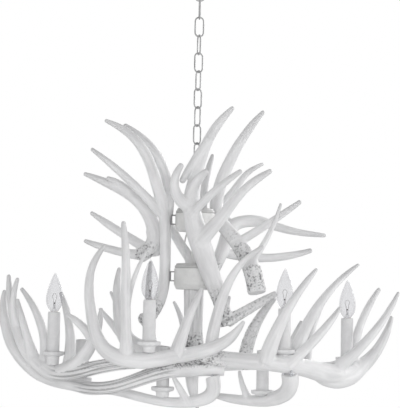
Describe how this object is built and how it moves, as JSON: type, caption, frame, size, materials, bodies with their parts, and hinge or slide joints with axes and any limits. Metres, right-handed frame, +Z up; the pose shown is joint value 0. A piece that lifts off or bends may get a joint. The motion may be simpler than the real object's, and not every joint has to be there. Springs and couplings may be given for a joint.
{
  "type": "antler chandelier",
  "caption": "Chandelier of interlaced antlers round a column, all painted white, with seven candle lamps, hung on a link chain from a ceiling canopy.",
  "frame": {"origin": "centre of the mounting crossbar on the ceiling, with the lamp hanging below it", "axes": "+Z up the chain, +X to the viewer's right in the picture, -Y towards the viewer"},
  "size_m": [0.8098, 0.395, 0.8779],
  "materials": {
    "antler_resin": "satin white paint over cast resin",
    "hub_paint": "satin white paint",
    "chain_paint": "satin white paint",
    "pan_paint": "satin white paint",
    "zinc_steel": "zinc plated",
    "sleeve_white": "matt white candle sleeve",
    "socket_plastic": "matt",
    "lead_insulation": "satin white",
    "base_brass": "polished",
    "bulb_glass": "clear"
  },
  "bodies": {
    "canopy": {"ceiling_canopy": "chain_paint", "mounting_crossbar": "zinc_steel", "canopy_loop": "chain_paint"},
    "link_01": {"chain_link_01": "chain_paint"},
    "link_02": {"chain_link_02": "chain_paint"},
    "link_03": {"chain_link_03": "chain_paint"},
    "link_04": {"chain_link_04": "chain_paint"},
    "link_05": {"chain_link_05": "chain_paint"},
    "link_06": {"chain_link_06": "chain_paint"},
    "link_07": {"chain_link_07": "chain_paint"},
    "link_08": {"chain_link_08": "chain_paint"},
    "link_09": {"chain_link_09": "chain_paint"},
    "link_10": {"chain_link_10": "chain_paint"},
    "link_11": {"chain_link_11": "chain_paint"},
    "fixture": {"hub_loop": "chain_paint", "upper_hub": "hub_paint", "lower_hub": "hub_paint", "base_hub": "hub_paint", "stem_pipe": "zinc_steel", "lower_post": "antler_resin", "hub_lead": "lead_insulation", "hub_straps": "chain_paint", "antler_studs": "zinc_steel", "clamp_screw": "zinc_steel", "antler_left_outer": "antler_resin", "antler_front_right": "antler_resin", "antler_left_inner": "antler_resin", "antler_front_left": "antler_resin", "antler_bottom_left": "antler_resin", "antler_bottom_right": "antler_resin", "antler_rear_left": "antler_resin", "antler_rear_right": "antler_resin", "antler_front_center": "antler_resin", "antler_left_tall": "antler_resin", "antler_left_upper": "antler_resin", "antler_right_tall": "antler_resin", "antler_right_rear": "antler_resin", "antler_rear_upper": "antler_resin", "antler_finial": "antler_resin", "drip_pan_left": "pan_paint", "drip_pan_front_left": "pan_paint", "drip_pan_front_right": "pan_paint", "drip_pan_right": "pan_paint", "drip_pan_low_front": "pan_paint", "drip_pan_low_right": "pan_paint", "drip_pan_low_rear": "pan_paint", "candle_sleeve_left": "sleeve_white", "candle_sleeve_front_left": "sleeve_white", "candle_sleeve_front_right": "sleeve_white", "candle_sleeve_right": "sleeve_white", "candle_sleeve_low_front": "sleeve_white", "candle_sleeve_low_right": "sleeve_white", "candle_sleeve_low_rear": "sleeve_white", "candle_nipples": "zinc_steel", "lamp_sockets": "socket_plastic", "bulb_bases": "base_brass", "bulb_left": "bulb_glass", "bulb_front_left": "bulb_glass", "bulb_front_right": "bulb_glass", "bulb_right": "bulb_glass"}
  },
  "joints": [
    {"name": "link_01_swing", "type": "hinge", "parent": "canopy", "child": "link_01", "pos_m": [0, 0, -0.05705], "axis": [1, 0, 0], "range_deg": [-6, 6]},
    {"name": "link_02_swing", "type": "hinge", "parent": "link_01", "child": "link_02", "pos_m": [0, 0, -0.09365], "axis": [0, 1, 0], "range_deg": [-6, 6]},
    {"name": "link_03_swing", "type": "hinge", "parent": "link_02", "child": "link_03", "pos_m": [0, 0, -0.13025], "axis": [1, 0, 0], "range_deg": [-6, 6]},
    {"name": "link_04_swing", "type": "hinge", "parent": "link_03", "child": "link_04", "pos_m": [0, 0, -0.16685], "axis": [0, 1, 0], "range_deg": [-6, 6]},
    {"name": "link_05_swing", "type": "hinge", "parent": "link_04", "child": "link_05", "pos_m": [0, 0, -0.20345], "axis": [1, 0, 0], "range_deg": [-6, 6]},
    {"name": "link_06_swing", "type": "hinge", "parent": "link_05", "child": "link_06", "pos_m": [0, 0, -0.24005], "axis": [0, 1, 0], "range_deg": [-6, 6]},
    {"name": "link_07_swing", "type": "hinge", "parent": "link_06", "child": "link_07", "pos_m": [0, 0, -0.27665], "axis": [1, 0, 0], "range_deg": [-6, 6]},
    {"name": "link_08_swing", "type": "hinge", "parent": "link_07", "child": "link_08", "pos_m": [0, 0, -0.31325], "axis": [0, 1, 0], "range_deg": [-6, 6]},
    {"name": "link_09_swing", "type": "hinge", "parent": "link_08", "child": "link_09", "pos_m": [0, 0, -0.34985], "axis": [1, 0, 0], "range_deg": [-6, 6]},
    {"name": "link_10_swing", "type": "hinge", "parent": "link_09", "child": "link_10", "pos_m": [0, 0, -0.38645], "axis": [0, 1, 0], "range_deg": [-6, 6]},
    {"name": "link_11_swing", "type": "hinge", "parent": "link_10", "child": "link_11", "pos_m": [0, 0, -0.42305], "axis": [1, 0, 0], "range_deg": [-6, 6]},
    {"name": "fixture_swing", "type": "hinge", "parent": "link_11", "child": "fixture", "pos_m": [0, 0, -0.45965], "axis": [0, 1, 0], "range_deg": [-6, 6]}
  ]
}
